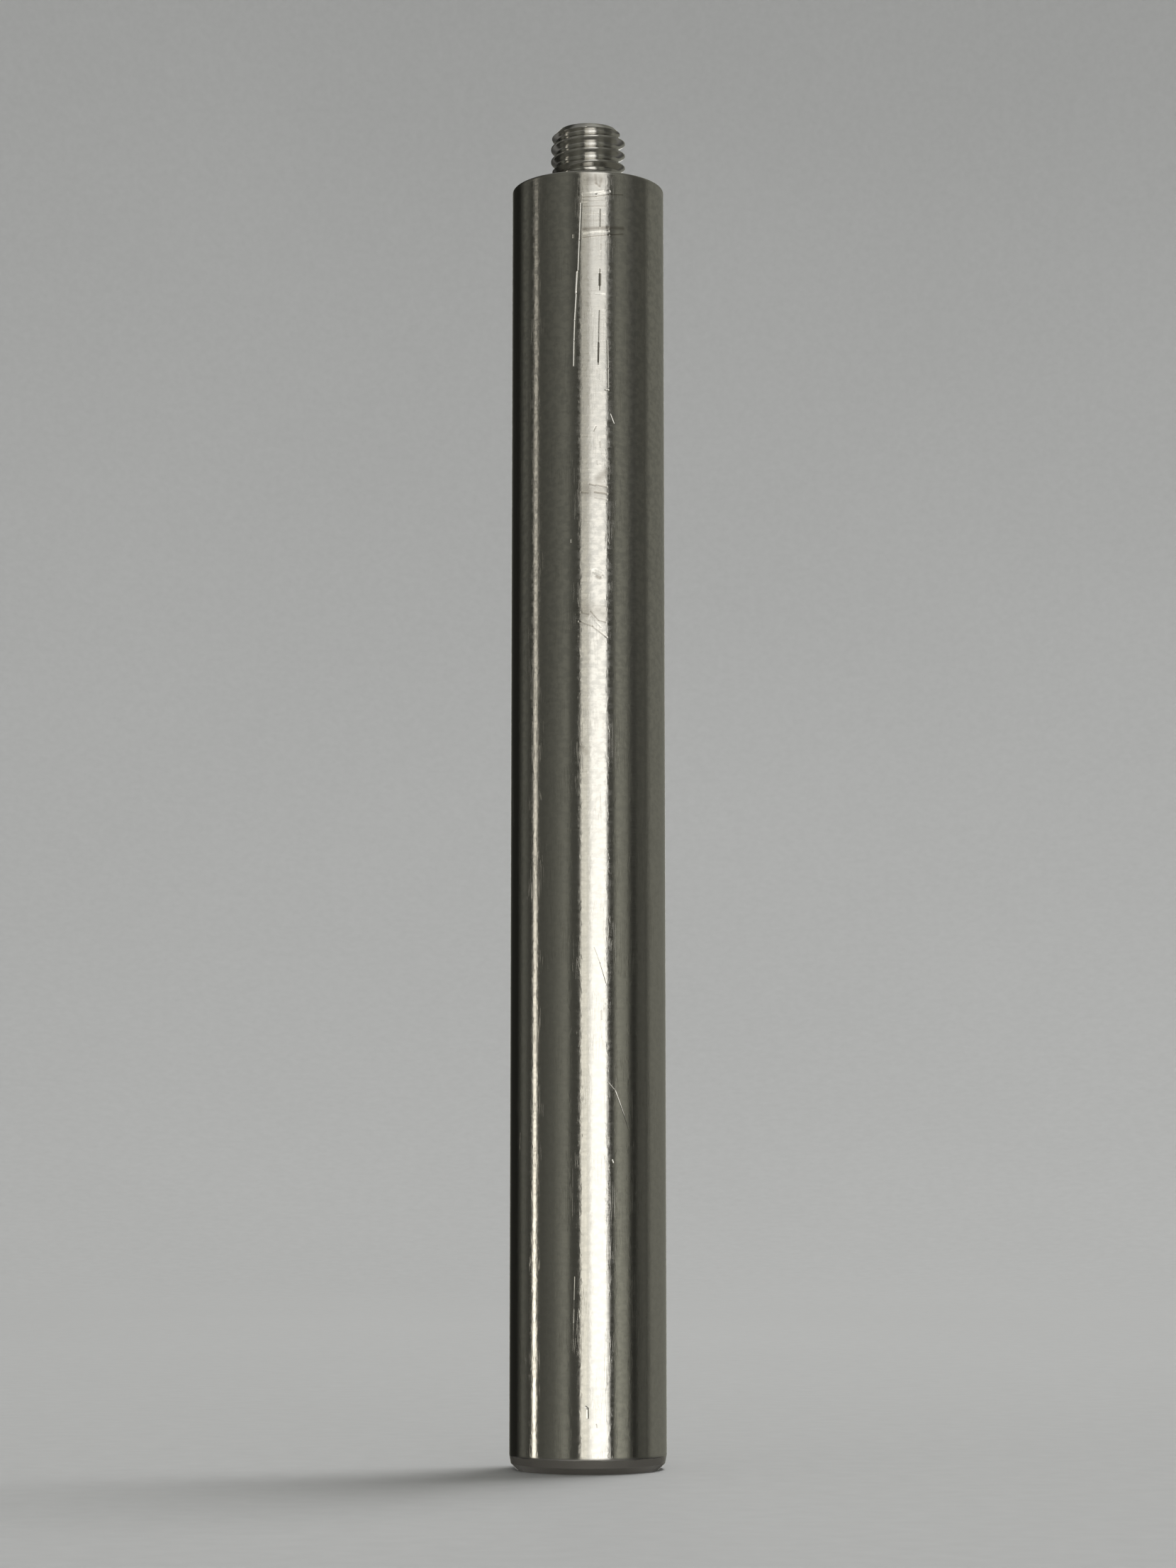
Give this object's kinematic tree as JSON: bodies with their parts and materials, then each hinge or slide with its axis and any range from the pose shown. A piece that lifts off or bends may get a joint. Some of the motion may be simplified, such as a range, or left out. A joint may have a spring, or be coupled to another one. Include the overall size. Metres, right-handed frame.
{
  "type": "optical post",
  "caption": "Round ground steel post with a short threaded stud on its shoulder and a tapped hole in its foot, for holding lab parts above a bench.",
  "frame": {"origin": "centre of the seating face at the foot of the post, on the axis of its tapped hole", "axes": "+Z along the post's axis, from the seating face up to the threaded stud"},
  "size_m": [0.012, 0.012, 0.105],
  "materials": {
    "ground_steel": "ground and turned stainless steel with fine marks round it, handling scratches and a satin gloss"
  },
  "bodies": {
    "root": {"post": "ground_steel"}
  },
  "joints": []
}
